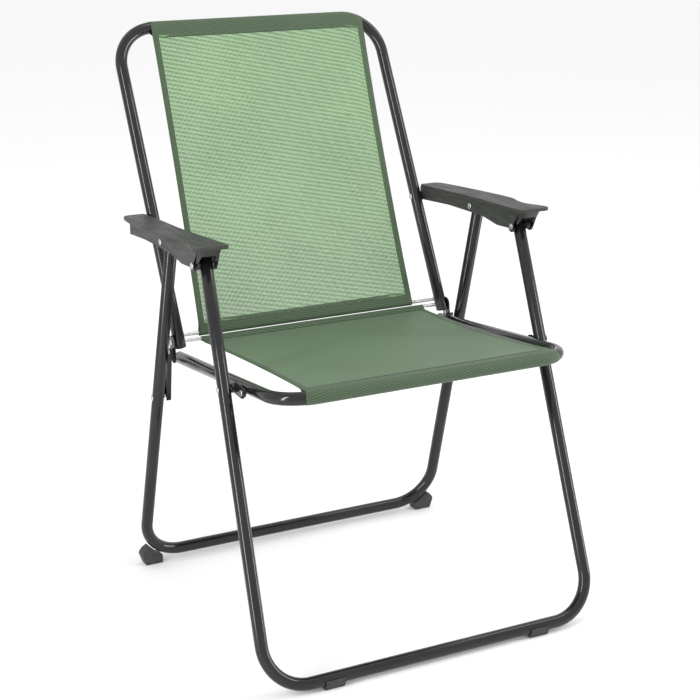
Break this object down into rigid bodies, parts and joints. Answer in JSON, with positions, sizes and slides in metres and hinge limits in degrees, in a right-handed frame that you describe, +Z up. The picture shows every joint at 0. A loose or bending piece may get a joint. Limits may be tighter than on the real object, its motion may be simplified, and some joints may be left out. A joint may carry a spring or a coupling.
{
  "type": "folding camp chair",
  "caption": "Folding armchair of bent steel tube with plastic armrests and a see-through mesh back and seat, for camping and the garden.",
  "frame": {"origin": "on the floor, under the middle of the open chair's box", "axes": "+Z up, the sitter faces -Y, +X to the right of somebody looking at the chair from the front"},
  "size_m": [0.561, 0.6415, 0.8295],
  "materials": {
    "black_paint": "gloss powder coat",
    "grey_plastic": "satin moulded",
    "black_plastic": "matte moulded",
    "zinc_steel": "zinc plated",
    "green_mesh": "coated polyester mesh"
  },
  "bodies": {
    "back": {"back_frame_tube": "black_paint", "back_lower_rod": "zinc_steel", "back_sling": "green_mesh", "back_tube_plug_left": "black_plastic", "back_tube_plug_right": "black_plastic", "armrest_back_rivet_left": "zinc_steel", "armrest_back_rivet_right": "zinc_steel", "armrest_washer_left": "black_plastic", "armrest_washer_right": "black_plastic"},
    "seat": {"seat_frame_tube": "black_paint", "seat_axle": "zinc_steel", "seat_sling": "green_mesh", "seat_plate_left": "black_paint", "seat_plate_right": "black_paint", "seat_tube_plug_left": "black_plastic", "seat_tube_plug_right": "black_plastic", "seat_front_rivet_left": "zinc_steel", "seat_front_rivet_right": "zinc_steel", "seat_front_washer_left": "black_plastic", "seat_front_washer_right": "black_plastic", "link_top_rivet_left": "zinc_steel", "link_top_rivet_right": "zinc_steel"},
    "front_leg": {"front_leg_tube": "black_paint", "leg_bracket_left": "black_paint", "leg_bracket_right": "black_paint", "bracket_rivet_left": "zinc_steel", "bracket_rivet_right": "zinc_steel", "front_foot_left": "black_plastic", "front_foot_right": "black_plastic"},
    "rear_leg": {"rear_leg_tube": "black_paint", "rear_foot_left": "black_plastic", "rear_foot_right": "black_plastic", "rear_leg_rivet_left": "zinc_steel", "rear_leg_rivet_right": "zinc_steel"},
    "armrest_left": {"armrest_left": "grey_plastic", "armrest_front_rivet_left": "zinc_steel", "armrest_rear_rivet_left": "zinc_steel"},
    "link_left": {"link_left": "black_paint", "link_pin_left": "zinc_steel"},
    "armrest_right": {"armrest_right": "grey_plastic", "armrest_front_rivet_right": "zinc_steel", "armrest_rear_rivet_right": "zinc_steel"},
    "link_right": {"link_right": "black_paint", "link_pin_right": "zinc_steel"}
  },
  "joints": [
    {"name": "seat_fold", "type": "hinge", "parent": "back", "child": "seat", "pos_m": [0, 0.08, 0.3887], "axis": [-1, 0, 0], "range_deg": [0, 105]},
    {"name": "armrest_left_fold", "type": "hinge", "parent": "back", "child": "armrest_left", "pos_m": [0, 0.1632, 0.5475], "axis": [-1, 0, 0], "range_deg": [0, 105]},
    {"name": "armrest_right_fold", "type": "hinge", "parent": "back", "child": "armrest_right", "pos_m": [0, 0.1632, 0.5475], "axis": [-1, 0, 0], "range_deg": [0, 105]},
    {"name": "front_leg_fold", "type": "hinge", "parent": "armrest_left", "child": "front_leg", "pos_m": [0, -0.1008, 0.5513], "axis": [-1, 0, 0], "range_deg": [-105, 0]},
    {"name": "rear_leg_fold", "type": "hinge", "parent": "armrest_left", "child": "rear_leg", "pos_m": [0, 0.017, 0.5587], "axis": [-1, 0, 0], "range_deg": [-69, 0]},
    {"name": "link_left_fold", "type": "hinge", "parent": "seat", "child": "link_left", "pos_m": [0, 0.08, 0.3742], "axis": [-1, 0, 0], "range_deg": [0, 132]},
    {"name": "link_right_fold", "type": "hinge", "parent": "seat", "child": "link_right", "pos_m": [0, 0.08, 0.3742], "axis": [-1, 0, 0], "range_deg": [0, 132]}
  ],
  "couplings": [
    {"joint": "armrest_left_fold", "follows": "seat_fold", "ratio": 1},
    {"joint": "armrest_right_fold", "follows": "seat_fold", "ratio": 1},
    {"joint": "front_leg_fold", "follows": "seat_fold", "ratio": -1},
    {"joint": "rear_leg_fold", "follows": "seat_fold", "ratio": -0.6528},
    {"joint": "link_left_fold", "follows": "seat_fold", "ratio": 1.2567},
    {"joint": "link_right_fold", "follows": "seat_fold", "ratio": 1.2567}
  ]
}
